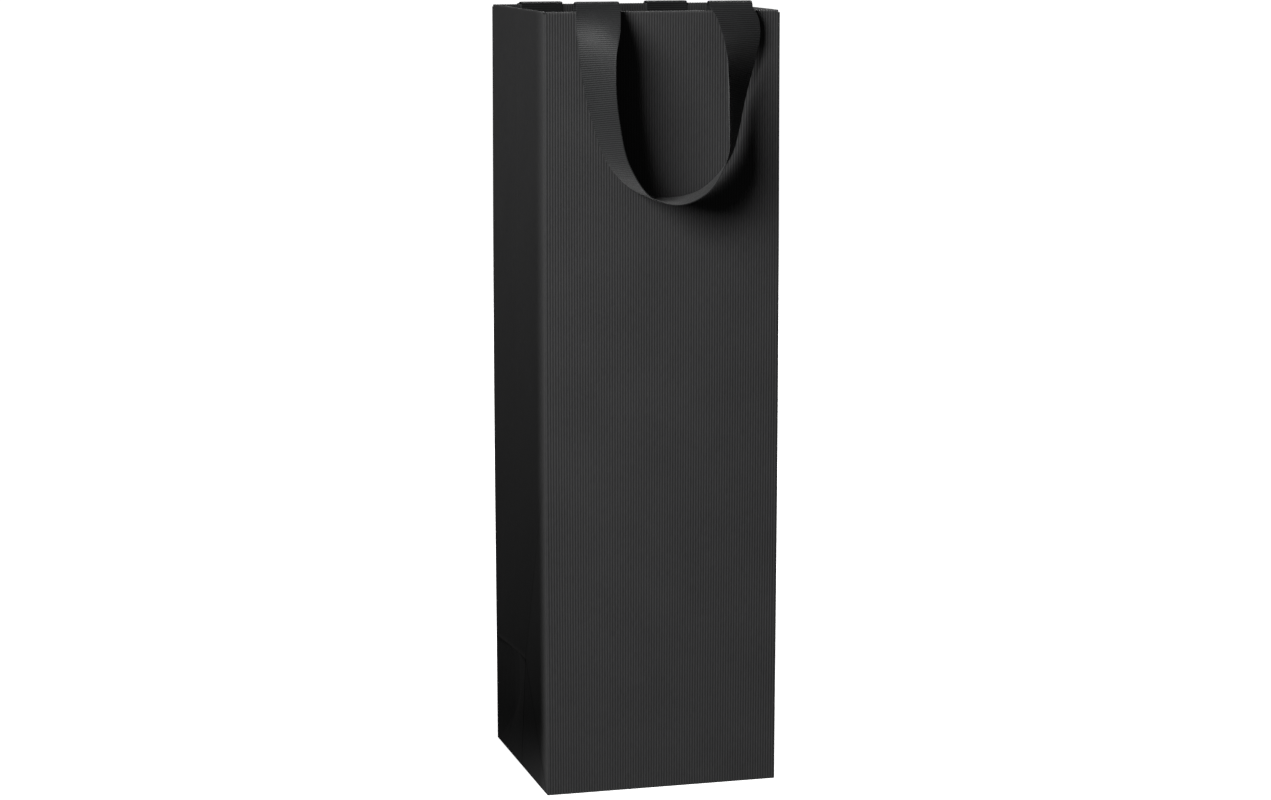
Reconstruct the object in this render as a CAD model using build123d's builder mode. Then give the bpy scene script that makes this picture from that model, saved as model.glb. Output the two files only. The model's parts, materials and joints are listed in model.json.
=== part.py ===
"""One-bottle gift bag of ribbed paper with two grosgrain ribbon handles, standing open.

Frame: origin at the middle of the base on the table, +X to the right, -Y to the front,
+Z up. Millimetres. The bag is one folded sheet, so each stretch of paper between two
creases is a solid of its own, and the creases are the hinge lines between them.
"""
import os
from math import cos, exp, hypot, radians, sin

from build123d import *

# The bag, outside sizes when it stands open
WIDTH = 110.0
DEPTH = 105.0
HEIGHT = 360.0

# Sheet stock
PAPER = 0.35
CARD = 0.8
RIBBON = 0.5
BOARD = 1.0

# Turned-in hem and the card strips that it closes over
HEM_DEPTH = 38.0
CARD_DEPTH = 34.0
SLIT_DROP = 27.5
SLIT_HEIGHT = 1.6

# Low rim of the block bottom, as high as its glued flaps and the loose board
RIM = 2.2

# Ribbon handles
RIBBON_WIDTH = 20.0
ROOT_X = 31.0
ANCHOR_DROP = 36.0
BEND_RADIUS = 2.75
BEND_LIFT = 1.5
HANDLE_DROP = 86.0
TWIST_DECAY = 25.0
LOOP_STEPS = 24

# Room at the creases: along a hinge line's plane, and across the slanted bottom creases
GAP = 0.15
SLANT_GAP = 0.2

# Layers under the hem, counted in from the outer face of a front or rear wall
WALL_STACK = PAPER + CARD + RIBBON + PAPER
GUSSET_STACK = 2 * PAPER

# Corner creases lie on the inner faces of those layers, so that the walls can fold flat
FOLD_X = WIDTH / 2 - GUSSET_STACK - 0.1
FOLD_Y = DEPTH / 2 - WALL_STACK - 0.1
CREASE_Z = RIM + FOLD_Y

BEND_Y = DEPTH / 2 - WALL_STACK - RIBBON / 2 + BEND_RADIUS
BEND_Z = HEIGHT + BEND_LIFT

FRONT = -1
REAR = 1
SIDES = {"left": -1, "right": 1}
ENDS = {"front": FRONT, "rear": REAR}

os.makedirs("parts", exist_ok=True)


def write(piece, label):
    """Label a finished piece and write its STEP file."""
    piece.part.label = label
    export_step(piece.part, f"parts/{label}.step")


def block(x, y, z):
    """Add a box to the current part, given by its low and high value on each axis."""
    centre = ((x[0] + x[1]) / 2, (y[0] + y[1]) / 2, (z[0] + z[1]) / 2)
    with Locations(centre):
        Box(abs(x[1] - x[0]), abs(y[1] - y[0]), abs(z[1] - z[0]))


def layer(end, start, thickness):
    """The Y span of a layer of a front or rear wall, start counted in from the outer face."""
    outer = DEPTH / 2 - start
    return (end * (outer - thickness), end * outer)


def side_plate(side, start, thickness, outline):
    """A plate parallel to the gussets with its outline in Y and Z, start counted in from outside."""
    inner = WIDTH / 2 - start - thickness
    near = inner if side > 0 else -inner - thickness
    with BuildPart() as plate:
        with BuildSketch(Plane.YZ.offset(near)):
            with BuildLine():
                Polyline(*outline, close=True)
            make_face()
        extrude(amount=thickness)
    return plate


def wall(end, low, high):
    """A front or rear wall with the short returns that reach back to its corner creases."""
    lip = layer(end, 0, WALL_STACK - GAP)
    with BuildPart() as plate:
        block((-WIDTH / 2, WIDTH / 2), layer(end, 0, PAPER), (low, high))
        for side in SIDES.values():
            block((side * (WIDTH / 2 - PAPER), side * WIDTH / 2), lip, (low, high))
    return plate


def foot():
    """The rear wall below its level crease, which folds up against the outside."""
    with BuildPart() as plate:
        block((-WIDTH / 2, WIDTH / 2), layer(REAR, 0, PAPER), (RIM + GAP, CREASE_Z - GAP))
    return plate


def wall_hem(end):
    """The turned-in top of a wall, with the strip over the card and a slit for each ribbon end."""
    reach = FOLD_X - 2 * GAP
    hem_y = layer(end, WALL_STACK - PAPER, PAPER)
    cover_y = layer(end, PAPER, WALL_STACK - 2 * PAPER)
    slit_z = HEIGHT - SLIT_DROP
    with BuildPart() as hem:
        block((-reach, reach), hem_y, (HEIGHT - HEM_DEPTH, HEIGHT))
        block((-reach, reach), cover_y, (HEIGHT - PAPER, HEIGHT))
        with Locations(*[(root, sum(hem_y) / 2, slit_z) for root in (-ROOT_X, ROOT_X)]):
            Box(RIBBON_WIDTH + 0.6, 2 * PAPER, SLIT_HEIGHT, mode=Mode.SUBTRACT)
    return hem


def stiffener(end):
    """The card strip between a wall and its hem."""
    reach = FOLD_X - 4 * GAP
    top = HEIGHT - 2 * PAPER
    with BuildPart() as strip:
        block((-reach, reach), layer(end, PAPER, CARD), (top - CARD_DEPTH, top))
    return strip


def ribbon_end(end, root):
    """A ribbon end: glued flat under the hem, out through its slit, and up to the top edge."""
    x = (root - RIBBON_WIDTH / 2, root + RIBBON_WIDTH / 2)
    slit_z = HEIGHT - SLIT_DROP
    slit = (slit_z - RIBBON / 2, slit_z + RIBBON / 2)
    with BuildPart() as tail:
        block(x, layer(end, PAPER + CARD, RIBBON), (HEIGHT - ANCHOR_DROP, slit[1]))
        block(x, layer(end, PAPER + CARD, 2 * RIBBON + PAPER), slit)
        block(x, layer(end, WALL_STACK, RIBBON), (slit[0], BEND_Z))
    return tail


def ribbon_bends(end):
    """The two places where a ribbon arches over the top edge from inside to outside."""
    outer = BEND_RADIUS + RIBBON / 2
    with BuildPart() as bends:
        for root in (-ROOT_X, ROOT_X):
            with BuildSketch(Plane.YZ.offset(root - RIBBON_WIDTH / 2)):
                with Locations((end * BEND_Y, BEND_Z)):
                    Circle(outer)
                    Circle(BEND_RADIUS - RIBBON / 2, mode=Mode.SUBTRACT)
                with Locations((end * BEND_Y, BEND_Z - outer / 2)):
                    Rectangle(2 * outer + 1, outer, mode=Mode.SUBTRACT)
            extrude(amount=RIBBON_WIDTH)
    return bends


def loop_section(end, angle):
    """The plane across the ribbon at an angle from 0, the left root, to 180, the right one.

    The ribbon's outer edge follows half an ellipse in a plane beside the wall. From each
    root it twists, fast at first, until at the bottom its width stands straight out.
    """
    turn = radians(angle)
    from_root = min(angle, 180 - angle)
    share = (1 - exp(-from_root / TWIST_DECAY)) / (1 - exp(-90 / TWIST_DECAY))
    twist = radians(90 * share)
    half_span = ROOT_X + RIBBON_WIDTH / 2
    rise, run = HANDLE_DROP * cos(turn), half_span * sin(turn)
    size = hypot(rise, run)
    tangent = Vector(run / size, 0, -rise / size)
    inward = Vector(rise / size, 0, run / size)
    across = inward * cos(twist) + Vector(0, end, 0) * sin(twist)
    top = BEND_Z - GAP
    edge_y = end * (BEND_Y + BEND_RADIUS)
    edge = Vector(-half_span * cos(turn), edge_y, top - HANDLE_DROP * sin(turn))
    return Plane(origin=edge + across * (RIBBON_WIDTH / 2), x_dir=across, z_dir=tangent)


def ribbon_loop(end):
    """The free loop of a handle, hanging against the outside of its wall."""
    with BuildPart() as loop:
        for step in range(LOOP_STEPS + 1):
            with BuildSketch(loop_section(end, 180 * step / LOOP_STEPS)):
                Rectangle(RIBBON_WIDTH, RIBBON)
        loft(ruled=True)
    return loop


def gusset_rear_outline():
    """Rear half of a gusset, above the level crease."""
    near, far = GAP, FOLD_Y - GAP
    low = CREASE_Z + GAP
    return [(near, low), (far, low), (far, HEIGHT), (near, HEIGHT)]


def gusset_front_outline():
    """Front half of a gusset, down to the slanted crease that ends in the bottom corner."""
    near, far = -GAP, -(FOLD_Y - GAP)
    foot_near = CREASE_Z + near + SLANT_GAP
    foot_far = CREASE_Z + far + SLANT_GAP
    return [(near, foot_near), (near, HEIGHT), (far, HEIGHT), (far, foot_far)]


def foot_base_outline():
    """The triangle that stands on the base's side edge."""
    low = RIM + GAP
    reach = CREASE_Z - SLANT_GAP - low
    return [(-reach, low), (reach, low), (0, CREASE_Z - SLANT_GAP)]


def foot_rear_outline():
    """The triangle between the level crease, the rear slanted crease and the rear corner."""
    high, far = CREASE_Z - GAP, FOLD_Y - GAP
    return [(GAP + SLANT_GAP, high), (far, high), (far, CREASE_Z - far + SLANT_GAP)]


def hem_outline(end):
    """The turned-in top of half a gusset."""
    near, far = end * GAP, end * (FOLD_Y - GAP)
    low = HEIGHT - HEM_DEPTH
    return [(near, low), (far, low), (far, HEIGHT), (near, HEIGHT)]


def seam_outline():
    """The glued flap that joins the sheet's two edges inside a rear corner."""
    far = FOLD_Y - GAP
    near = far - 15
    low, high = CREASE_Z + GAP, HEIGHT - HEM_DEPTH - GAP
    return [(near, low + 4), (far, low), (far, high), (near, high)]


def base_end_flap(end, level):
    """A front or rear bottom flap with its low rim; level is the flap's underside."""
    reach = WIDTH / 2 - PAPER
    past_middle = -end * DEPTH / 10
    with BuildPart() as flap:
        block((-reach, reach), (past_middle, end * DEPTH / 2), (level, level + PAPER))
        block((-WIDTH / 2, WIDTH / 2), layer(end, 0, PAPER), (0, RIM - GAP))
    return flap


def base_side_flap(side):
    """A side bottom flap, narrower towards the middle, with its low rim."""
    edge, tip = side * WIDTH / 2, side * 6
    wide, narrow = DEPTH / 2 - PAPER, DEPTH / 4
    rim_x = (side * (WIDTH / 2 - PAPER), edge)
    with BuildPart() as flap:
        with BuildSketch(Plane.XY.offset(2 * PAPER)):
            with BuildLine():
                Polyline((edge, -wide), (edge, wide), (tip, narrow), (tip, -narrow), close=True)
            make_face()
        extrude(amount=PAPER)
        block(rim_x, (-wide, wide), (0, RIM - GAP))
    return flap


def base_board():
    """The loose board that lies on the bottom flaps inside the bag."""
    inset = 1.5
    with BuildPart() as board:
        with BuildSketch(Plane.XY.offset(3 * PAPER)):
            RectangleRounded(WIDTH - 2 * inset, DEPTH - 2 * inset, 1.5)
        extrude(amount=BOARD)
    return board


# Front and rear walls; the rear one has a level crease where the bottom folds up
write(wall(FRONT, RIM + GAP, HEIGHT), "front_panel")
write(wall(REAR, CREASE_Z + GAP, HEIGHT), "rear_panel")
write(foot(), "rear_foot")

# Hems, card strips and handles of both walls
for name, end in ENDS.items():
    write(wall_hem(end), f"{name}_hem")
    write(stiffener(end), f"{name}_stiffener")
    for side_name, side in SIDES.items():
        write(ribbon_end(end, side * ROOT_X), f"{name}_handle_end_{side_name}")
    write(ribbon_bends(end), f"{name}_handle_bends")
    write(ribbon_loop(end), f"{name}_handle_loop")

# Gussets, each in its two halves and the two small triangles at its foot
for side_name, side in SIDES.items():
    write(side_plate(side, 0, PAPER, gusset_rear_outline()), f"{side_name}_gusset_rear")
    write(side_plate(side, 0, PAPER, gusset_front_outline()), f"{side_name}_gusset_front")
    write(side_plate(side, 0, PAPER, foot_base_outline()), f"{side_name}_foot_base")
    write(side_plate(side, 0, PAPER, foot_rear_outline()), f"{side_name}_foot_rear")
    for name, end in ENDS.items():
        write(side_plate(side, PAPER, PAPER, hem_outline(end)), f"{side_name}_gusset_{name}_hem")

# The seam flap is glued inside the right gusset
write(side_plate(SIDES["right"], PAPER, PAPER, seam_outline()), "side_seam_flap")

# Block bottom: side flaps inside, rear flap under them, front flap outermost
write(base_end_flap(FRONT, 0), "base_front_flap")
write(base_end_flap(REAR, PAPER), "base_rear_flap")
for side_name, side in SIDES.items():
    write(base_side_flap(side), f"base_{side_name}_flap")
write(base_board(), "base_board")
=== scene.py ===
"""Looks of the one-bottle gift bag: ribbed black paper and two grosgrain ribbon handles.

Everything is in metres in the CAD frame: +X right, -Y front, +Z up, origin under the base.
"""
import json
import math

import bpy
import numpy as np
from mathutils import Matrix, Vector


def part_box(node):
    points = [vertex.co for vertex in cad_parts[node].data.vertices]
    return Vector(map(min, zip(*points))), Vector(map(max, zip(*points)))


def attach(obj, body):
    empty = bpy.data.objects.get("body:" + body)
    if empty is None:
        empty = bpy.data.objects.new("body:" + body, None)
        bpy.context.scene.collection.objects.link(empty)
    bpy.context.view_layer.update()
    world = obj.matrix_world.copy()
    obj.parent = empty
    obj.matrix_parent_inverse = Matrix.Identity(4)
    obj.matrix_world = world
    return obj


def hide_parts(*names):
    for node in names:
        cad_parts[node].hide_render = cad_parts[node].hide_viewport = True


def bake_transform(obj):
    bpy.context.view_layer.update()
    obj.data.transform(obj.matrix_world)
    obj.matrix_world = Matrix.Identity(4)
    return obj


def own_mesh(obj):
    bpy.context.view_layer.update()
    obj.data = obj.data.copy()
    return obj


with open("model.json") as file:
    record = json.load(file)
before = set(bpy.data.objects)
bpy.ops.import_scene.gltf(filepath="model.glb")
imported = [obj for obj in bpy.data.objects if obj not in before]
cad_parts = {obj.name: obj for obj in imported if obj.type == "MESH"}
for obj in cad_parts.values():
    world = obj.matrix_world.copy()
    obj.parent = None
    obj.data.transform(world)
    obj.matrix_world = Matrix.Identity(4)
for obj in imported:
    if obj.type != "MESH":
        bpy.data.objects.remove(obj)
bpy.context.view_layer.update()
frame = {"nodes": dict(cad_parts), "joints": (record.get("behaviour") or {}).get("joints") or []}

MM = 0.001

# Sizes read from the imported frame
JOINT_AT = {joint["name"]: Vector(joint["pos_m"]) for joint in frame["joints"]}
HALF_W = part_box("rear_panel")[1].x
HALF_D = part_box("rear_panel")[1].y
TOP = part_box("rear_panel")[1].z
FOLD_Y = JOINT_AT["flat_fold"].y
CREASE_Z = JOINT_AT["foot_crease"].z
HEM_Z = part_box("front_hem")[0].z
HEM_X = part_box("front_hem")[1].x
WALL_STACK = HALF_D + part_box("front_hem")[1].y
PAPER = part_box("left_gusset_front")[1].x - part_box("left_gusset_front")[0].x
END_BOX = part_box("front_handle_end_right")
RIBBON_WIDTH = END_BOX[1].x - END_BOX[0].x
ROOT_X = (END_BOX[1].x + END_BOX[0].x) / 2
BEND_Y = -JOINT_AT["front_handle_swing"].y
BEND_Z = JOINT_AT["front_handle_swing"].z
RIBBON_MIDDLE = 0.25 * MM
RISER_Y = HALF_D - WALL_STACK - RIBBON_MIDDLE

# Ribbed paper
RIB_PITCH = 1.24 * MM
RIB_HEIGHT = 0.085 * MM
COLUMN = RIB_PITCH / 4
CORNER_RADIUS = 0.3 * MM
FOLD_RADIUS = WALL_STACK / 2
GUSSET_FOLD_RADIUS = 0.42 * MM
SHEET = 0.28 * MM
SHARP_ANGLE = math.radians(50)

# Dents left in the gussets by flat storage
APEX_DEPTH = 2.4 * MM
FOOT_RECESS = 5.0 * MM
VALLEY_TOP = 150 * MM
MIDDLE_STRIP = 9 * MM
CREASE_SOFTNESS = 0.5 * MM

# Gentle bulge of the walls between their stiff edges
WALL_BULGE = 0.7 * MM
FOOT_INSET = 0.12 * MM
EDGE_BOW = 0.5 * MM

# Grosgrain ribbon
RIBBON = 0.42 * MM
WEAVE_PITCH = 0.95 * MM
WEAVE_HEIGHT = 0.17 * MM
SELVEDGE = 0.7 * MM
GLUED_END = 8 * MM
SLIT_DROP = 27.5 * MM
SLIT_Z = TOP - SLIT_DROP
SLIT_HALF = 0.8 * MM

# How a handle hangs: its outer edge from the left root to the right one, as millimetres right of
# the middle and below the bend, and its twist, as share of the way and degrees
HANDLE_ROUTE = (
    (-41, 0), (-41.4, 6), (-40.3, 16), (-38.2, 31), (-33.5, 51), (-25, 71.5), (-11, 83.2), (3, 85.2),
    (15.5, 82.6), (25.5, 74.8), (31.6, 66), (34.6, 56), (37, 44), (40, 32), (43, 21), (44.6, 11),
    (43.4, 4), (41, 0),
)
HANDLE_TWIST = (
    (0, 0), (0.04, 22), (0.08, 42), (0.15, 56), (0.25, 68), (0.36, 79), (0.44, 91), (0.5, 94),
    (0.56, 86), (0.65, 71), (0.72, 61), (0.80, 50), (0.885, 31), (0.95, 12), (1, 0),
)
ROOT_REACH = 0.16
REAR_ARCH = 0.2

# Glued flaps under the loose board
FLAP_EDGE = 0.5 * MM
FLAP_OVERLAP = 0.1 * 2 * HALF_D
FRONT_FLAP_Z = 0.05 * MM
REAR_FLAP_Z = 0.40 * MM
SIDE_FLAP_Z = 0.74 * MM
SIDE_FLAP_GAP = 6 * MM

# Stage and light
FLOOR_SIDES = 96
FLOOR_RADIUS = 2.6
COVE = 0.9
BACKDROP_TOP = 3.0
FLOOR_GLOW = 0.98
KEY_AZIMUTH = 54
KEY_HEIGHT_ANGLE = 24
KEY_SIZE = 0.75
KEY_POWER = 38
FILL_POWER = 24
# Light that the net lets through, as share of the graded height and share of light
SCRIM_WIDTH = 0.15
SCRIM_HEIGHT = 0.45
SCRIM_GRADED = 0.4
SCRIM = ((0.02, 0.50), (0.11, 0.0), (0.24, 0.11), (0.5, 0.23), (0.82, 0.42), (0.95, 0.48))
AMBIENT = 0.03

# Camera
CAMERA_AZIMUTH = -15.3
CAMERA_ELEVATION = 9.3
CAMERA_DISTANCE = 1.463
CAMERA_TARGET = (0.0015, 0, 0.1748)
CAMERA_LENS = 87.3


# ---------------------------------------------------------------- shared formulas

def unit(vectors):
    """The vectors along the last axis, each at length 1."""
    return vectors / np.maximum(np.linalg.norm(vectors, axis=-1, keepdims=True), 1e-12)


def smooth(share):
    """An even ease from 0 to 1 for a share from 0 to 1."""
    return share**2 * (3 - 2 * share)


def streak(distance, width):
    """1 on a line and fading to 0 over about width on either side of it."""
    return np.exp(-((distance / width) ** 2))


# ---------------------------------------------------------------- meshes

def shell(outer, inner, keep):
    """Vertices and quads of a closed shell between two grids of points.

    keep marks the grid cells that exist, so a hole in it becomes a hole with closed edges.
    """
    rows, columns = outer.shape[:2]
    number = np.arange(rows * columns).reshape(rows, columns)
    below = number + rows * columns
    i, j = np.nonzero(keep)
    quads = [
        np.stack([number[i, j], number[i, j + 1], number[i + 1, j + 1], number[i + 1, j]], 1),
        np.stack([below[i, j], below[i + 1, j], below[i + 1, j + 1], below[i, j + 1]], 1),
    ]
    wide = np.zeros((rows + 1, columns - 1), bool)
    wide[1:-1] = keep
    for i, j in zip(*np.nonzero(wide[1:] ^ wide[:-1])):
        edge = [number[i, j], number[i, j + 1], below[i, j + 1], below[i, j]]
        quads.append(np.array([edge if wide[i, j] else edge[::-1]]))
    tall = np.zeros((rows - 1, columns + 1), bool)
    tall[:, 1:-1] = keep
    for i, j in zip(*np.nonzero(tall[:, 1:] ^ tall[:, :-1])):
        edge = [number[i, j], number[i + 1, j], below[i + 1, j], below[i, j]]
        quads.append(np.array([edge[::-1] if tall[i, j] else edge]))
    points = np.concatenate([outer.reshape(-1, 3), inner.reshape(-1, 3)])
    return points, np.concatenate(quads)


def grid_normals(points):
    """Unit normals of a grid whose first axis is rows upwards and second columns across."""
    across = np.gradient(points, axis=1)
    up = np.gradient(points, axis=0)
    return unit(np.cross(across, up))


def mesh_object(name, parts, material):
    """One object from several shells, each given as points, quads, UV points and fold marks."""
    start, all_points, all_quads, all_uv, all_fold = 0, [], [], [], []
    for points, quads, uv, fold in parts:
        used, index = np.unique(quads, return_inverse=True)
        all_points.append(points[used])
        all_uv.append(uv[used])
        all_fold.append(fold[used])
        all_quads.append(index.reshape(quads.shape) + start)
        start += len(used)
    points, quads = np.concatenate(all_points), np.concatenate(all_quads)
    uv, fold = np.concatenate(all_uv), np.concatenate(all_fold)
    mesh = bpy.data.meshes.new(name)
    mesh.from_pydata(points.tolist(), [], quads.tolist())
    layer = mesh.uv_layers.new(name="length")
    layer.data.foreach_set("uv", uv[quads.ravel()].astype(np.float32).ravel())
    marks = mesh.attributes.new("fold", "FLOAT", "POINT")
    marks.data.foreach_set("value", fold.astype(np.float32))
    mesh.polygons.foreach_set("use_smooth", [True] * len(quads))
    mesh.materials.append(material)
    mesh.update()
    mesh.validate()
    mesh.set_sharp_from_angle(angle=SHARP_ANGLE)
    piece = bpy.data.objects.new(name, mesh)
    bpy.context.scene.collection.objects.link(piece)
    return piece


def sheet_part(points, across, up, fold, ribbed=True, keep=None, thickness=SHEET):
    """A shell of paper on a grid of outer points; across and up are its lengths for the UV map."""
    normals = grid_normals(points)
    rib = RIB_HEIGHT * np.cos(2 * math.pi * across / RIB_PITCH) if ribbed else 0 * across
    outer = points + normals * rib[..., None]
    inner = points - normals * thickness
    keep = np.ones((points.shape[0] - 1, points.shape[1] - 1), bool) if keep is None else keep
    vertices, quads = shell(outer, inner, keep)
    uv = np.stack([across, up], 2).reshape(-1, 2)
    back = uv + np.array([0, 1.0])
    marks = fold.reshape(-1)
    return vertices, quads, np.concatenate([uv, back]), np.concatenate([marks, marks])


# ---------------------------------------------------------------- the bag's surface

def corner_path():
    """The bag's outline seen from above, anticlockwise from the middle of the left gusset."""
    r, w, d = CORNER_RADIUS, HALF_W, HALF_D
    runs = [((-w, 0), (-w, -d + r)), ((-w + r, -d), (w - r, -d)), ((w, -d + r), (w, d - r)),
            ((w - r, d), (-w + r, d)), ((-w, d - r), (-w, 0))]
    centres = [(-w + r, -d + r), (w - r, -d + r), (w - r, d - r), (-w + r, d - r)]
    starts = [math.pi, 1.5 * math.pi, 0, 0.5 * math.pi]
    points = []
    for number, (a, b) in enumerate(runs):
        points += [a, b]
        if number < 4:
            cx, cy = centres[number]
            for step in range(1, 8):
                turn = starts[number] + math.pi / 2 * step / 8
                points.append((cx + r * math.cos(turn), cy + r * math.sin(turn)))
    points = np.array(points)
    steps = np.linalg.norm(np.diff(points, axis=0), axis=1)
    return np.concatenate([[0], np.cumsum(steps)]), points


PATH_S, PATH_XY = corner_path()


def at_path(s):
    """Points of the outline at lengths s along it."""
    return np.stack([np.interp(s, PATH_S, PATH_XY[:, k]) for k in (0, 1)], -1)


def path_length(x, y):
    """The length along the outline at which it passes nearest to a point."""
    s = np.arange(0, PATH_S[-1], 0.02 * MM)
    return s[np.argmin(np.linalg.norm(at_path(s) - np.array([x, y]), axis=1))]


def columns_between(start, end):
    """Column positions from start to end, in step with the ribs in between."""
    first = math.ceil(start / COLUMN + 0.2)
    last = math.floor(end / COLUMN - 0.2)
    return np.concatenate([[start], np.arange(first, last + 1) * COLUMN, [end]])


def soft_max(value, width):
    """value where it is positive and 0 where it is negative, rounded over width."""
    return (value + np.sqrt(value**2 + width**2)) / 2 - width / 2 * np.exp(-np.abs(value) / width)


def gusset_depth(y, z):
    """How far the gusset is pressed in at a place, by the creases of flat storage.

    The deepest point above the level crease is where it meets the middle one. From there
    the dent fades out along a valley to the front edge, and below it the foot tucks under.
    """
    y, z = np.broadcast_arrays(y, z)
    across = np.clip(1 - np.abs(y) / FOLD_Y, 0, 1)
    valley = CREASE_Z + (VALLEY_TOP - CREASE_Z) * np.clip(-y / FOLD_Y, 0, 1)
    slope = 2 * APEX_DEPTH / (VALLEY_TOP - CREASE_Z)
    rear_facet = soft_max(APEX_DEPTH * (1 - y / FOLD_Y) - slope * (z - CREASE_Z), CREASE_SOFTNESS)
    front_facet = APEX_DEPTH * across
    above = np.where((y < 0) & (z < valley), front_facet, rear_facet)

    edge_fade = np.clip(3 * across, 0, 1)
    tuck = FOOT_RECESS * edge_fade * (1 - 0.45 * across) * np.clip(y / (24 * MM), 0, 1)
    slant = CREASE_Z * across
    base = (front_facet + tuck) * np.clip(z / np.maximum(slant, 0.1 * MM), 0, 1)
    up = np.clip((z - slant) / np.maximum(CREASE_Z - slant, 0.1 * MM), 0, 1)
    sides = front_facet + tuck * (1 - up**12)
    depth = np.where(z < slant, base, np.where(z < CREASE_Z, sides, above))
    return depth * np.clip((FOLD_Y - np.abs(y)) / MM, 0, 1) ** 0.5


def bag_surface(s, z):
    """Outer points of the bag at lengths s along its outline and heights z, both grids."""
    xy = at_path(s)
    x, y = xy[..., 0], xy[..., 1]
    rise = np.clip(z / TOP, 0, 1)
    belly = np.sin(math.pi * rise) ** 1.5
    on_wall = np.clip(1 - (x / HALF_W) ** 2, 0, 1)
    ripple = 0.15 * MM * np.sin(9 * rise + 3) * np.sin(17 * rise) * np.sin(60 * x + 1)
    above_foot = np.clip((z - 2.1 * CREASE_Z) / (60 * MM), 0, 1)
    free = np.where(y > 0, smooth(above_foot), 1)
    sunk = FOOT_INSET * (1 - free) * np.clip(6 * on_wall, 0, 1) * np.clip(z / (3 * MM), 0, 1)
    out = (WALL_BULGE * belly + ripple) * on_wall * free - sunk
    y = y + np.sign(y) * out * (np.abs(y) > FOLD_Y)
    x = x + np.sign(x) * EDGE_BOW * belly * (np.abs(x) / HALF_W) ** 2
    on_gusset = np.abs(xy[..., 1]) < FOLD_Y
    x = x - np.sign(x) * gusset_depth(xy[..., 1], z) * on_gusset
    return np.stack([x, y, z], -1)


def fold_wear_highlight_and_shade(s, z):
    """1 on the outward folds, worn paler and painted as a highlight; below 0 in the inward creases,
    painted darker as shade.
    """
    # The top fold and the corners are paler: partly wear, partly a painted highlight.
    marks = streak(z - TOP, 0.5 * MM) * np.ones(np.broadcast(s, z).shape)
    for sx, sy in ((-1, -1), (1, -1), (1, 1), (-1, 1)):
        corner = path_length(sx * (HALF_W - 0.2 * MM), sy * (HALF_D - 0.2 * MM))
        marks = np.maximum(marks, 0.1 * streak(s - corner, 0.4 * MM))
    y = at_path(s)[..., 1]
    on_ridge = (y > 0) & (y < FOLD_Y)
    # A painted highlight along the level crease.
    ridge_highlight = streak(z - CREASE_Z - 0.4 * MM, 0.6 * MM) * on_ridge
    # Painted shade: dark lines under the level crease, along the slanted creases and along the valley
    # crease.
    under = streak(z - CREASE_Z + 1.6 * MM, 1.1 * MM) * on_ridge
    in_front = (y <= 0) & (y > -FOLD_Y)
    diagonal_crease_shade = streak(z - CREASE_Z * (1 + y / FOLD_Y), 1.1 * MM) * in_front
    climb = np.clip((z - CREASE_Z) / (VALLEY_TOP - CREASE_Z), 0, 1)
    valley = streak(y + FOLD_Y * climb, 0.7 * MM) * (1 - climb) * (z > CREASE_Z)
    dark = np.maximum(np.maximum(under, 0.8 * diagonal_crease_shade), 0.8 * valley)
    return np.maximum(marks, ridge_highlight) - dark


def paper_grid(start, end, heights):
    """Grid of s and z between two outline places; heights maps columns to a column of z each."""
    s = columns_between(start, end)
    z = heights(s)
    return np.broadcast_to(s, z.shape), z


def levels(low, high, count):
    """count heights from low to high, each a number or a row, closer together near both."""
    share = (1 - np.cos(np.linspace(0, math.pi, count)[:, None])) / 2
    return np.asarray(low) + (np.asarray(high) - np.asarray(low)) * share


def plain_part(start, end, heights):
    """A stretch of the bag's paper between two outline places."""
    s, z = paper_grid(start, end, heights)
    return sheet_part(bag_surface(s, z), s, z, fold_wear_highlight_and_shade(s, z))


def hem_part(start, end, radius, slits=()):
    """The top edge of a wall or gusset, folded over inwards and down inside as its hem."""
    s_row = columns_between(start, end)
    for x_low, x_high in slits:
        s_row = np.sort(np.concatenate([s_row, [x_low, x_high]]))
    turns = np.linspace(0, math.pi, 9)
    down = np.linspace(TOP - radius, HEM_Z, 30)[1:]
    if len(slits):
        cuts = [SLIT_Z + SLIT_HALF, SLIT_Z - SLIT_HALF]
        down = np.sort(np.concatenate([down, cuts]))[::-1]
    z = np.concatenate([TOP - radius + radius * np.sin(turns), down])
    inset = np.concatenate([radius * (1 - np.cos(turns)), np.full(len(down), 2 * radius)])
    s, zz = np.meshgrid(s_row, z)
    base = bag_surface(s, np.minimum(zz, TOP - radius))
    base[..., 2] = zz
    xy = at_path(s)
    ahead = unit(at_path(s + 0.05 * MM) - at_path(s - 0.05 * MM))
    inward = np.stack([-ahead[..., 1], ahead[..., 0], 0 * xy[..., 0]], -1)
    points = base + inward * inset[:, None, None]
    run = np.concatenate([[0], np.cumsum(np.hypot(np.diff(z), np.diff(inset)))])
    keep = np.ones((len(z) - 1, len(s_row) - 1), bool)
    mid_s, mid_z = (s_row[1:] + s_row[:-1]) / 2, (z[1:] + z[:-1]) / 2
    inside = np.arange(len(mid_z)) >= len(turns)
    for x_low, x_high in slits:
        cut = inside & (np.abs(mid_z - SLIT_Z) < SLIT_HALF)
        keep[np.ix_(cut, (mid_s > x_low) & (mid_s < x_high))] = False
    # The top of the fold is paler: partly wear, partly a painted highlight.
    marks = np.broadcast_to(streak(run - radius * math.pi / 2, 0.9 * MM)[:, None], s.shape)
    up = np.broadcast_to((TOP + run)[:, None], s.shape)
    return sheet_part(points, s, up, marks, keep=keep)


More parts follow.
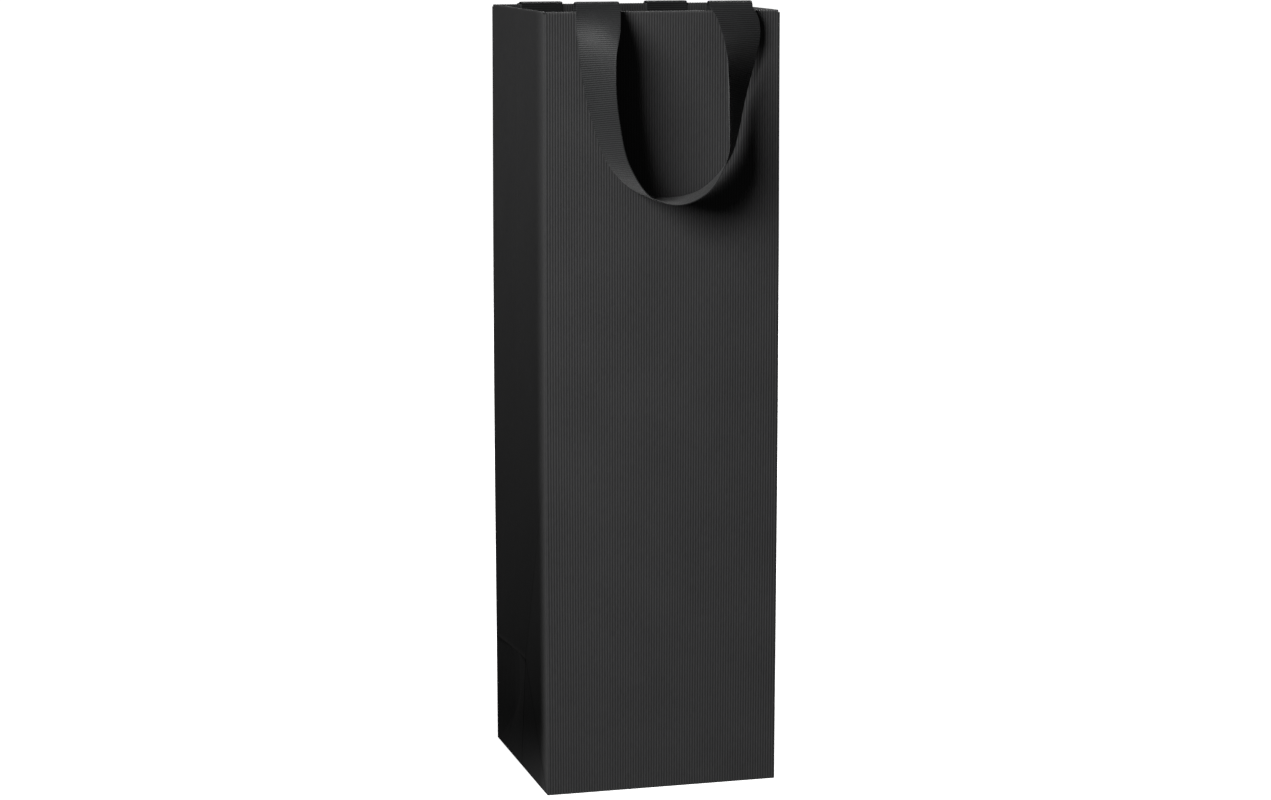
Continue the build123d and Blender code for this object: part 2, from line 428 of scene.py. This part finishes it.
S_LEFT_FRONT = path_length(-HALF_W, -FOLD_Y)
S_RIGHT_FRONT = path_length(HALF_W, -FOLD_Y)
S_RIGHT_MID = path_length(HALF_W, 0)
S_RIGHT_REAR = path_length(HALF_W, FOLD_Y)
S_LEFT_REAR = path_length(-HALF_W, FOLD_Y)
S_END = PATH_S[-1]


# ---------------------------------------------------------------- materials

def new_material(name):
    """A material with its node tree and its shader."""
    material = bpy.data.materials.new(name)
    material.use_nodes = True
    tree = material.node_tree
    return material, tree, tree.nodes["Principled BSDF"]


def node(tree, kind, **values):
    """A node with some of its properties or inputs set."""
    made = tree.nodes.new(kind)
    for key, value in values.items():
        if key in made.inputs:
            made.inputs[key].default_value = value
        else:
            setattr(made, key, value)
    return made


def math_node(tree, operation, *values):
    """A Math node on its inputs, each a socket or a number."""
    made = node(tree, "ShaderNodeMath", operation=operation)
    for socket, value in zip(made.inputs, values):
        if isinstance(value, (int, float)):
            socket.default_value = value
        else:
            tree.links.new(value, socket)
    return made.outputs[0]


def stripes(tree, length, pitch):
    """A wave from 0 to 1 with a period of pitch along a length socket."""
    turn = math_node(tree, "MULTIPLY", length, 2 * math.pi / pitch)
    wave = math_node(tree, "COSINE", turn)
    return math_node(tree, "MULTIPLY_ADD", wave, 0.5, 0.5)


def ramp(tree, value, low, high):
    """A colour between two greys or colours, by a socket from 0 to 1."""
    made = node(tree, "ShaderNodeValToRGB")
    made.color_ramp.elements[0].color = (*low, 1)
    made.color_ramp.elements[1].color = (*high, 1)
    tree.links.new(value, made.inputs["Fac"])
    return made.outputs["Color"]


def blend_colors(tree, share, first, second):
    """A Mix node for colours; share, first and second are sockets or values."""
    made = node(tree, "ShaderNodeMix", data_type="RGBA")
    for socket, value in ((made.inputs[0], share), (made.inputs[6], first), (made.inputs[7], second)):
        if isinstance(value, (int, float)):
            socket.default_value = value
        elif isinstance(value, tuple):
            socket.default_value = (*value, 1)
        else:
            tree.links.new(value, socket)
    return made.outputs[2]


def uv_lengths(tree):
    """Sockets with the lengths across and up a sheet, and the whole UV vector."""
    uv = node(tree, "ShaderNodeUVMap", uv_map="length")
    split = node(tree, "ShaderNodeSeparateXYZ")
    tree.links.new(uv.outputs[0], split.inputs[0])
    return split.outputs[0], split.outputs[1], uv.outputs[0]


def stretched_noise(tree, vector, scale, detail):
    """Noise on a vector stretched by scale, as fibres in paper or threads in ribbon."""
    mapping = node(tree, "ShaderNodeMapping")
    mapping.inputs["Scale"].default_value = scale
    tree.links.new(vector, mapping.inputs["Vector"])
    noise = node(tree, "ShaderNodeTexNoise")
    noise.inputs["Scale"].default_value = 1
    noise.inputs["Detail"].default_value = detail
    tree.links.new(mapping.outputs[0], noise.inputs["Vector"])
    return noise.outputs["Fac"]


def paper_material(name, dark, light, worn_and_highlight_color):
    """Black ribbed kraft: painted shade in the rib grooves and inward creases, long fibres, and folds worn
    paler with a painted highlight.
    """
    material, tree, shader = new_material(name)
    across, _, vector = uv_lengths(tree)
    rib = stripes(tree, across, RIB_PITCH)
    fibres = stretched_noise(tree, vector, (2600, 260, 1), 3)
    clouds = stretched_noise(tree, vector, (45, 30, 1), 4)
    # The rib grooves are painted darker than the crests as painted shade; fibres and clouds are the
    # paper's own uneven tone.
    shade = math_node(tree, "MULTIPLY_ADD", rib, 0.45, 0.05)
    shade = math_node(tree, "ADD", shade, math_node(tree, "MULTIPLY", fibres, 0.5))
    color = ramp(tree, shade, dark, light)
    color = blend_colors(tree, math_node(tree, "MULTIPLY", clouds, 0.25), color, light)
    fold = node(tree, "ShaderNodeAttribute", attribute_name="fold")
    # Outward folds blend towards the pale colour: partly wear, partly a painted highlight.
    wear_and_highlight = math_node(tree, "MULTIPLY", fold.outputs["Fac"], math_node(tree, "ADD", fibres, 0.1))
    color = blend_colors(tree, wear_and_highlight, color, worn_and_highlight_color)
    # Inward creases blend towards the darkest colour as painted shade.
    painted_crease_shade = math_node(tree, "MULTIPLY", fold.outputs["Fac"], -0.9)
    color = blend_colors(tree, painted_crease_shade, color, dark)
    tree.links.new(color, shader.inputs["Base Color"])
    rough = math_node(tree, "MULTIPLY_ADD", clouds, 0.16, 0.46)
    tree.links.new(rough, shader.inputs["Roughness"])
    bump = node(tree, "ShaderNodeBump", Strength=0.35, Distance=0.00003)
    tree.links.new(fibres, bump.inputs["Height"])
    tree.links.new(bump.outputs[0], shader.inputs["Normal"])
    shader.inputs["Specular IOR Level"].default_value = 0.35
    shader.inputs["Sheen Weight"].default_value = 0.05
    shader.inputs["Sheen Roughness"].default_value = 0.5
    return material


def ribbon_material():
    """Black grosgrain: cross ribs with painted shade between them, fine warp threads and a plain selvedge
    with a soft sheen.
    """
    material, tree, shader = new_material("grosgrain_black")
    across, up, vector = uv_lengths(tree)
    weft = stripes(tree, up, WEAVE_PITCH)
    warp = stripes(tree, across, 0.32 * MM)
    threads = stretched_noise(tree, vector, (1500, 900, 1), 3)
    clouds = stretched_noise(tree, vector, (70, 70, 1), 2)
    # The troughs between the cross ribs are painted darker than the crests as painted shade; threads and
    # clouds are the ribbon's own uneven tone.
    shade = math_node(tree, "MULTIPLY_ADD", weft, 0.6, 0.0)
    shade = math_node(tree, "ADD", shade, math_node(tree, "MULTIPLY", threads, 0.3))
    shade = math_node(tree, "ADD", shade, math_node(tree, "MULTIPLY", clouds, 0.15))
    color = ramp(tree, shade, (0.001, 0.001, 0.001), (0.033, 0.034, 0.035))
    tree.links.new(color, shader.inputs["Base Color"])
    rough = math_node(tree, "MULTIPLY_ADD", threads, 0.2, 0.4)
    tree.links.new(rough, shader.inputs["Roughness"])
    height = math_node(tree, "MULTIPLY", warp, weft)
    height = math_node(tree, "ADD", height, math_node(tree, "MULTIPLY", threads, 0.6))
    bump = node(tree, "ShaderNodeBump", Strength=0.5, Distance=0.00006)
    tree.links.new(height, bump.inputs["Height"])
    tree.links.new(bump.outputs[0], shader.inputs["Normal"])
    shader.inputs["Specular IOR Level"].default_value = 0.25
    shader.inputs["Sheen Weight"].default_value = 0.12
    shader.inputs["Sheen Roughness"].default_value = 0.5
    return material


def card_material(name, dark, light):
    """Grey or lined board: fine fibre specks on CAD plates, which have no UV map of lengths."""
    material, tree, shader = new_material(name)
    place = node(tree, "ShaderNodeTexCoord")
    specks = stretched_noise(tree, place.outputs["Object"], (900, 900, 900), 4)
    clouds = stretched_noise(tree, place.outputs["Object"], (60, 60, 60), 3)
    shade = math_node(tree, "MULTIPLY", math_node(tree, "ADD", specks, clouds), 0.5)
    tree.links.new(ramp(tree, shade, dark, light), shader.inputs["Base Color"])
    rough = math_node(tree, "MULTIPLY_ADD", specks, 0.2, 0.6)
    tree.links.new(rough, shader.inputs["Roughness"])
    bump = node(tree, "ShaderNodeBump", Strength=0.4, Distance=0.00005)
    tree.links.new(specks, bump.inputs["Height"])
    tree.links.new(bump.outputs[0], shader.inputs["Normal"])
    shader.inputs["Specular IOR Level"].default_value = 0.3
    return material


# Colours: darkest for painted groove and crease shade, lightest crest, and pale worn folds that also carry
# a painted highlight.
PAPER_BLACK = paper_material(
    "ribbed_paper_black", (0.008, 0.008, 0.0085), (0.060, 0.060, 0.061), (0.085, 0.085, 0.085),
)
RIBBON_BLACK = ribbon_material()
GREY_BOARD = card_material("grey_board", (0.20, 0.18, 0.16), (0.36, 0.33, 0.29))
LINED_BOARD = card_material("lined_board_black", (0.02, 0.02, 0.021), (0.045, 0.045, 0.047))


# ---------------------------------------------------------------- paper pieces

def walls():
    """Front panel, rear panel and rear foot, with the returns of paper round their corners."""
    def full(s):
        return levels(0 * s, 0 * s + TOP - FOLD_RADIUS, 60)

    def upper(s):
        return levels(0 * s + CREASE_Z, 0 * s + TOP - FOLD_RADIUS, 52)

    def lower(s):
        return levels(0 * s, 0 * s + CREASE_Z, 14)

    def hem(y, start, stop):
        reach = RIBBON_WIDTH / 2 + 0.3 * MM
        spans = [(path_length(r - reach, y), path_length(r + reach, y)) for r in (-ROOT_X, ROOT_X)]
        return hem_part(start, stop, FOLD_RADIUS, [tuple(sorted(span)) for span in spans])

    front = plain_part(S_LEFT_FRONT, S_RIGHT_FRONT, full)
    front_hem = hem(-HALF_D, path_length(-HEM_X, -HALF_D), path_length(HEM_X, -HALF_D))
    rear = plain_part(S_RIGHT_REAR, S_LEFT_REAR, upper)
    rear_hem = hem(HALF_D, path_length(HEM_X, HALF_D), path_length(-HEM_X, HALF_D))
    foot = plain_part(S_RIGHT_REAR, S_LEFT_REAR, lower)

    piece = mesh_object("front_panel_paper", [front, front_hem], PAPER_BLACK)
    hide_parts("front_panel", "front_hem")
    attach(piece, "front_wall")
    piece = mesh_object("rear_panel_paper", [rear, rear_hem], PAPER_BLACK)
    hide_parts("rear_panel", "rear_hem")
    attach(piece, "rear_wall")
    piece = mesh_object("rear_foot_paper", [foot], PAPER_BLACK)
    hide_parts("rear_foot")
    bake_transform(piece)


def slant(s):
    """Height of the slanted bottom crease at outline lengths s on a gusset."""
    return CREASE_Z * (1 - np.clip(np.abs(at_path(s)[..., 1]) / FOLD_Y, 0, 1))


def gusset_front_heights(s):
    """Heights from the slanted crease, through the valley crease, to the top."""
    y = at_path(s)[..., 1]
    valley = CREASE_Z + (VALLEY_TOP - CREASE_Z) * np.clip(np.abs(y) / FOLD_Y, 0, 1)
    low = levels(slant(s), valley, 16)
    return np.concatenate([low, levels(valley, 0 * s + TOP - GUSSET_FOLD_RADIUS, 40)[1:]])


def gusset_rear_heights(s):
    """Heights from the level crease to the top."""
    return levels(0 * s + CREASE_Z, 0 * s + TOP - GUSSET_FOLD_RADIUS, 56)


def gussets():
    """Both gussets, each as a rear half, a front half and the strip along the middle crease."""
    near = 0.25 * MM
    strip = MIDDLE_STRIP
    for side, spans in {
        "left": {
            "rear": [(S_LEFT_REAR, S_END - strip)],
            "front": [(strip, S_LEFT_FRONT)],
            "middle": [(S_END - strip, S_END), (0, strip)],
        },
        "right": {
            "rear": [(S_RIGHT_MID + strip, S_RIGHT_REAR)],
            "front": [(S_RIGHT_FRONT, S_RIGHT_MID - strip)],
            "middle": [(S_RIGHT_MID, S_RIGHT_MID + strip), (S_RIGHT_MID - strip, S_RIGHT_MID)],
        },
    }.items():
        for end, runs in spans.items():
            parts = []
            for start, stop in runs:
                rearward = at_path((start + stop) / 2)[1] > 0
                heights = gusset_rear_heights if rearward else gusset_front_heights
                parts.append(plain_part(start, stop, heights))
                inset_start = near if start in (S_LEFT_REAR, S_RIGHT_FRONT) else 0
                inset_stop = near if stop in (S_LEFT_FRONT, S_RIGHT_REAR) else 0
                parts.append(hem_part(start + inset_start, stop - inset_stop, GUSSET_FOLD_RADIUS))
            piece = mesh_object(f"{side}_gusset_{end}_paper", parts, PAPER_BLACK)
            hang_gusset(piece, side, end)


def hang_gusset(piece, side, end):
    """Fixes a stretch of gusset where it stands and hides the CAD nodes it replaces, except the middle
    strips, which hide nothing; the right front half hangs on the body of its fold instead.
    """
    if end == "middle":
        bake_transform(piece)
        return
    name = f"{side}_gusset_{end}"
    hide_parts(name, f"{name}_hem")
    if (side, end) == ("right", "front"):
        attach(piece, "right_front_fold")
        return
    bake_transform(piece)


def foot_triangles():
    """The triangles at the foot of each gusset, which fold away as the bag goes flat."""
    tip = 0.35 * MM
    for side, sign in (("left", -1), ("right", 1)):
        if sign < 0:
            rear_span = (S_LEFT_REAR, S_END - tip)
            base_spans = [(tip, S_LEFT_FRONT - tip), (S_LEFT_REAR + tip, S_END - tip)]
        else:
            rear_span = (S_RIGHT_MID + tip, S_RIGHT_REAR)
            base_spans = [(S_RIGHT_FRONT + tip, S_RIGHT_REAR - tip)]
        rear = plain_part(*rear_span, lambda s: levels(slant(s), 0 * s + CREASE_Z, 30))
        piece = mesh_object(f"{side}_foot_rear_paper", [rear], PAPER_BLACK)
        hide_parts(f"{side}_foot_rear")
        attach(piece, "rear_foot_fold")
        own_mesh(piece)
        base = [plain_part(*span, lambda s: levels(0 * s, slant(s), 20)) for span in base_spans]
        piece = mesh_object(f"{side}_foot_base_paper", base, PAPER_BLACK)
        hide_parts(f"{side}_foot_base")
        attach(piece, "base_fold")
        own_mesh(piece)


# ---------------------------------------------------------------- base

def flap_part(x_span, y_span, z, narrow=0.0):
    """A flat bottom flap as a thin sheet; narrow trims its far corners."""
    x = np.arange(x_span[0], x_span[1] + COLUMN / 2, COLUMN)
    share = np.linspace(0, 1, 24)
    grid_x, grid_t = np.meshgrid(x, share)
    tip = np.clip(1 - np.abs(grid_x) / HALF_W, 0, 1)
    low = y_span[0] + narrow * tip
    high = y_span[1] - narrow * tip
    y = low + (high - low) * grid_t
    points = np.stack([grid_x, y, np.full(grid_x.shape, z)], -1)
    return sheet_part(points[::-1], grid_x[::-1], y[::-1], np.zeros(grid_x.shape))


def bottom():
    """The glued bottom flaps under the loose board."""
    inner = HALF_W - FLAP_EDGE
    outer_y = HALF_D - FLAP_EDGE
    for name, y_span, z in (
        ("base_front_flap", (-outer_y, FLAP_OVERLAP), FRONT_FLAP_Z),
        ("base_rear_flap", (-FLAP_OVERLAP, outer_y), REAR_FLAP_Z),
    ):
        piece = mesh_object(f"{name}_paper", [flap_part((-inner, inner), y_span, z)], PAPER_BLACK)
        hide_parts(name)
        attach(piece, "base_fold")
    for side, x_span in (("left", (-inner, -SIDE_FLAP_GAP)), ("right", (SIDE_FLAP_GAP, inner))):
        part = flap_part(x_span, (-outer_y, outer_y), SIDE_FLAP_Z, narrow=HALF_D / 2)
        piece = mesh_object(f"base_{side}_flap_paper", [part], PAPER_BLACK)
        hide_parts(f"base_{side}_flap")
        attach(piece, "base_fold")


# ---------------------------------------------------------------- ribbon handles

def through(knots, places):
    """Smooth values at places along knots, each knot a place followed by its values."""
    knots = np.asarray(knots, float)
    at, values = knots[:, 0], knots[:, 1:]
    slopes = np.gradient(values, at, axis=0)
    low = np.clip(np.searchsorted(at, places, side="right") - 1, 0, len(at) - 2)
    span = (at[low + 1] - at[low])[:, None]
    t = ((places - at[low]) / span[:, 0])[:, None]
    return (
        (2 * t**3 - 3 * t**2 + 1) * values[low] + (t**3 - 2 * t**2 + t) * span * slopes[low]
        + (3 * t**2 - 2 * t**3) * values[low + 1] + (t**3 - t**2) * span * slopes[low + 1]
    )


def loop_line():
    """Centre points of a front ribbon's free loop and the directions across it."""
    route = np.array(HANDLE_ROUTE, float) * MM
    steps = np.linalg.norm(np.diff(route, axis=0), axis=1)
    way = np.concatenate([[0], np.cumsum(steps)]) / steps.sum()
    share = np.linspace(0, 1, 401)
    place = through(np.column_stack([way, route]), share)
    twist = np.radians(through(HANDLE_TWIST, share)[:, 0])
    along = unit(np.gradient(place, axis=0) * np.array([1, -1]))
    inward = np.stack([-along[:, 1], 0 * share, along[:, 0]], 1)
    from_root = np.clip(np.minimum(share, 1 - share) / ROOT_REACH, 0, 1)
    free = smooth(from_root)[:, None]
    level = np.where(share < 0.5, 1.0, -1.0)[:, None] * np.array([1.0, 0, 0])
    inward = unit(level * (1 - free) + inward * free)
    forward = np.array([0, -1.0, 0])
    across = inward * np.cos(twist)[:, None] + forward * np.sin(twist)[:, None]
    edge_y = -(2 * BEND_Y - RISER_Y) - 0.1 * MM
    edge = np.stack([place[:, 0], 0 * share + edge_y, BEND_Z - place[:, 1]], 1)
    return edge + across * (RIBBON_WIDTH / 2), across


def ribbon_path(arch_height):
    """Centre points and directions across the front ribbon, from slit to slit.

    arch_height is the share of its full height to which the ribbon arches over the top edge.
    """
    radius = BEND_Y - RISER_Y
    turns = np.linspace(0, math.pi, 24)
    rise = np.linspace(SLIT_Z, BEND_Z, 60)[:-1]
    y = np.concatenate([0 * rise - RISER_Y, -BEND_Y + radius * np.cos(turns)])
    z = np.concatenate([rise, BEND_Z + radius * np.sin(turns)])
    up = np.stack([0 * y, y, z], 1)
    loop, across = loop_line()
    centres = np.concatenate([up + [-ROOT_X, 0, 0], loop[1:-1], up[::-1] + [ROOT_X, 0, 0]])
    level = np.tile([1.0, 0, 0], (len(up), 1))
    directions = np.concatenate([level, across[1:-1], level])
    over = np.maximum(centres[:, 2] - TOP, 0)
    centres[:, 2] -= over * (1 - arch_height)
    return centres, directions


def resample(points, directions, step):
    """The same path with even steps, its lengths, and its directions blended smoothly."""
    for number in range(1, len(directions)):
        if directions[number] @ directions[number - 1] < 0:
            directions[number] = -directions[number]
    lengths = np.concatenate([[0], np.cumsum(np.linalg.norm(np.diff(points, axis=0), axis=1))])
    even = np.arange(0, lengths[-1], step)
    place = np.stack([np.interp(even, lengths, points[:, k]) for k in range(3)], -1)
    wide = np.stack([np.interp(even, lengths, directions[:, k]) for k in range(3)], -1)
    kernel = np.hanning(15)
    kernel /= kernel.sum()
    padded = np.pad(wide, ((7, 7), (0, 0)), mode="edge")
    wide = np.stack([np.convolve(padded[:, k], kernel, "valid") for k in range(3)], -1)
    return place, unit(wide), even


def ribbon_part(points, directions, lengths):
    """A ribbon as a thin shell with raised cross ribs and flatter selvedges."""
    along = unit(np.gradient(points, axis=0))
    normal = unit(np.cross(directions, along))
    half = RIBBON_WIDTH / 2
    edge = np.array([-half, -half + 0.35 * MM, -half + SELVEDGE])
    offsets = np.concatenate([edge, np.linspace(-half + 1.2 * MM, half - 1.2 * MM, 9), -edge[::-1]])
    wave = np.cos(2 * math.pi * lengths / WEAVE_PITCH)
    body = np.clip((half - np.abs(offsets)) / SELVEDGE, 0, 1)
    body = np.where(np.abs(offsets) > half - SELVEDGE * 0.9, 0.35, 1) * np.clip(body + 0.4, 0, 1)
    lift = RIBBON / 2 + WEAVE_HEIGHT / 2 * wave[:, None] * body[None]
    flat = points[:, None] + directions[:, None] * offsets[None, :, None]
    outer = flat + normal[:, None] * lift[..., None]
    inner = flat - normal[:, None] * lift[..., None]
    keep = np.ones((len(points) - 1, len(offsets) - 1), bool)
    vertices, quads = shell(outer, inner, keep)
    across, up = np.meshgrid(offsets + half, lengths)
    uv = np.stack([across, up], 2).reshape(-1, 2)
    marks = np.zeros(len(uv))
    return vertices, quads[:, ::-1], np.concatenate([uv, uv]), np.concatenate([marks, marks])


def turned(part, turn):
    """A part turned half round about the vertical axis, for the rear handle."""
    vertices, quads, uv, marks = part
    return (vertices * np.array([-1, -1, 1]), quads, uv, marks) if turn else part


def handles():
    """Both ribbon handles, from slit to slit over the top edge and round the free loop."""
    for end, sign, arch_height in (("front", -1, 1.0), ("rear", 1, REAR_ARCH)):
        place, wide, lengths = resample(*ribbon_path(arch_height), WEAVE_PITCH / 4)
        part = turned(ribbon_part(place, wide, lengths), sign > 0)
        piece = mesh_object(f"{end}_handle_ribbon", [part], RIBBON_BLACK)
        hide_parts(f"{end}_handle_loop", f"{end}_handle_bends")
        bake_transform(piece)


def anchors():
    """The glued end of each ribbon, from the slit down between the hem and its card."""
    layer_y = HALF_D - (WALL_STACK - PAPER - RIBBON_MIDDLE)
    for end, turn in (("front", False), ("rear", True)):
        for side, root in (("left", -ROOT_X), ("right", ROOT_X)):
            at = -root if turn else root
            line = [(at, -RISER_Y, SLIT_Z + 0.3 * MM), (at, -RISER_Y, SLIT_Z - 0.2 * MM),
                    (at, -(RISER_Y + layer_y) / 2, SLIT_Z - 0.35 * MM), (at, -layer_y, SLIT_Z - 0.6 * MM),
                    (at, -layer_y, SLIT_Z - GLUED_END)]
            widths = np.tile([1.0, 0, 0], (len(line), 1))
            place, wide, lengths = resample(np.array(line), widths, WEAVE_PITCH / 4)
            part = turned(ribbon_part(place, wide, lengths), turn)
            piece = mesh_object(f"{end}_handle_anchor_{side}", [part], RIBBON_BLACK)
            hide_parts(f"{end}_handle_end_{side}")
            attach(piece, f"{end}_wall")


# ---------------------------------------------------------------- CAD nodes that stay

def dress(name, material):
    """Gives a CAD node that stays in view its material."""
    mesh = frame["nodes"][name].data
    mesh.materials.clear()
    mesh.materials.append(material)


def cad_nodes():
    """Finishes of the plain plates inside the bag."""
    for name in ("front_stiffener", "rear_stiffener"):
        dress(name, GREY_BOARD)
    for name in ("base_board", "side_seam_flap"):
        dress(name, LINED_BOARD)


# ---------------------------------------------------------------- stage, light and camera

def stage():
    """A pale floor that curves up all round into a low backdrop."""
    arc = np.linspace(0, math.pi / 2, 12)
    curve = FLOOR_RADIUS + COVE * np.sin(arc[1:])
    radii = np.concatenate([[0.02, FLOOR_RADIUS], curve, [FLOOR_RADIUS + COVE]])
    heights = np.concatenate([[0, 0], COVE * (1 - np.cos(arc[1:])), [BACKDROP_TOP]])
    ring = FLOOR_SIDES + 1
    turns = np.linspace(0, 2 * math.pi, ring)
    x, y = np.outer(radii, np.cos(turns)), np.outer(radii, np.sin(turns))
    points = np.stack([x, y, np.repeat(heights[:, None], ring, 1)], 2).reshape(-1, 3)
    rows = np.arange(len(radii) - 1)[:, None] * ring + np.arange(FLOOR_SIDES)
    quads = np.stack([rows, rows + 1, rows + ring + 1, rows + ring], 2).reshape(-1, 4)
    mesh = bpy.data.meshes.new("floor")
    mesh.from_pydata(points.tolist(), [], quads.tolist() + [list(range(FLOOR_SIDES))[::-1]])
    mesh.polygons.foreach_set("use_smooth", [True] * len(mesh.polygons))
    floor = bpy.data.objects.new("floor", mesh)
    bpy.context.scene.collection.objects.link(floor)
    material, tree, shader = new_material("pale_floor")
    place = node(tree, "ShaderNodeTexCoord")
    clouds = stretched_noise(tree, place.outputs["Object"], (3, 3, 3), 2)
    tree.links.new(ramp(tree, clouds, (0.80, 0.80, 0.80), (0.84, 0.84, 0.84)), shader.inputs["Base Color"])
    shader.inputs["Roughness"].default_value = 0.9
    shader.inputs["Emission Color"].default_value = (1, 1, 1, 1)
    shader.inputs["Emission Strength"].default_value = FLOOR_GLOW
    mesh.materials.append(material)
    floor.visible_diffuse = False
    floor.visible_glossy = False
    floor.visible_shadow = False


def aim(thing, target):
    """Turns a light or camera towards a point."""
    thing.rotation_euler = (Vector(target) - thing.location).to_track_quat("-Z", "Y").to_euler()


def area_light(name, azimuth, elevation, distance, size, power, target):
    """A square softbox seen from the target at an azimuth left of the front and an elevation."""
    data = bpy.data.lights.new(name, "AREA")
    data.shape = "SQUARE"
    data.size = size
    data.energy = power
    lamp = bpy.data.objects.new(name, data)
    a, e = math.radians(azimuth), math.radians(elevation)
    back = Vector((-math.sin(a) * math.cos(e), -math.cos(a) * math.cos(e), math.sin(e)))
    lamp.location = Vector(target) + back * distance
    lamp.visible_camera = False
    aim(lamp, target)
    bpy.context.scene.collection.objects.link(lamp)


def scrim():
    """A graded net that dims the key on the left gusset, most of all a little above the base."""
    a = math.radians(KEY_AZIMUTH)
    towards = Vector((-math.sin(a), -math.cos(a), 0))
    across = Vector((math.cos(a), -math.sin(a), 0))
    corner = Vector((-HALF_W, -HALF_D, 0))
    near = corner + towards * 0.02 - across * 0.004
    far = near - across * SCRIM_WIDTH
    rise = Vector((0, 0, SCRIM_HEIGHT))
    mesh = bpy.data.meshes.new("scrim")
    mesh.from_pydata([near, far, far + rise, near + rise], [], [(0, 1, 2, 3)])
    net = bpy.data.objects.new("scrim", mesh)
    bpy.context.scene.collection.objects.link(net)
    material, tree, shader = new_material("scrim_net")
    tree.nodes.remove(shader)
    place = node(tree, "ShaderNodeTexCoord")
    split = node(tree, "ShaderNodeSeparateXYZ")
    tree.links.new(place.outputs["Object"], split.inputs[0])
    height = math_node(tree, "DIVIDE", split.outputs[2], SCRIM_GRADED)
    grade = node(tree, "ShaderNodeValToRGB")
    stops = grade.color_ramp.elements
    stops[0].position, stops[0].color = SCRIM[0][0], (*[SCRIM[0][1]] * 3, 1)
    stops[1].position, stops[1].color = SCRIM[-1][0], (*[SCRIM[-1][1]] * 3, 1)
    for position, share in SCRIM[1:-1]:
        stops.new(position).color = (share, share, share, 1)
    tree.links.new(height, grade.inputs[0])
    clear = node(tree, "ShaderNodeBsdfTransparent")
    tree.links.new(grade.outputs[0], clear.inputs[0])
    output = next(n for n in tree.nodes if n.type == "OUTPUT_MATERIAL")
    tree.links.new(clear.outputs[0], output.inputs[0])
    mesh.materials.append(material)
    net.visible_camera = False
    net.visible_diffuse = False
    net.visible_glossy = False


def lights():
    """A soft key from the front left and a weaker softbox behind right for the other sides."""
    area_light("key", KEY_AZIMUTH, KEY_HEIGHT_ANGLE, 1.6, KEY_SIZE, KEY_POWER, (0, -HALF_D, 0.22))
    area_light("back_fill", -140, 28, 1.8, 1.2, FILL_POWER, (0, 0, 0.2))
    world = bpy.data.worlds.new("studio")
    world.use_nodes = True
    world.node_tree.nodes["Background"].inputs["Color"].default_value = (1, 1, 1, 1)
    world.node_tree.nodes["Background"].inputs["Strength"].default_value = AMBIENT
    bpy.context.scene.world = world


def camera():
    """A long lens from the front left, slightly above."""
    azimuth, elevation = math.radians(CAMERA_AZIMUTH), math.radians(CAMERA_ELEVATION)
    target = Vector(CAMERA_TARGET)
    data = bpy.data.cameras.new("camera")
    data.lens = CAMERA_LENS
    data.sensor_width = 36
    eye = bpy.data.objects.new("camera", data)
    back = Vector((math.sin(azimuth) * math.cos(elevation),
                   -math.cos(azimuth) * math.cos(elevation), math.sin(elevation)))
    eye.location = target + back * CAMERA_DISTANCE
    aim(eye, target)
    bpy.context.scene.collection.objects.link(eye)
    bpy.context.scene.camera = eye


def main():
    """Builds the stage and then every piece of the bag."""
    camera()
    stage()
    lights()
    scrim()
    walls()
    gussets()
    foot_triangles()
    bottom()
    handles()
    anchors()
    cad_nodes()
    bpy.context.scene.view_settings.view_transform = "Standard"


main()
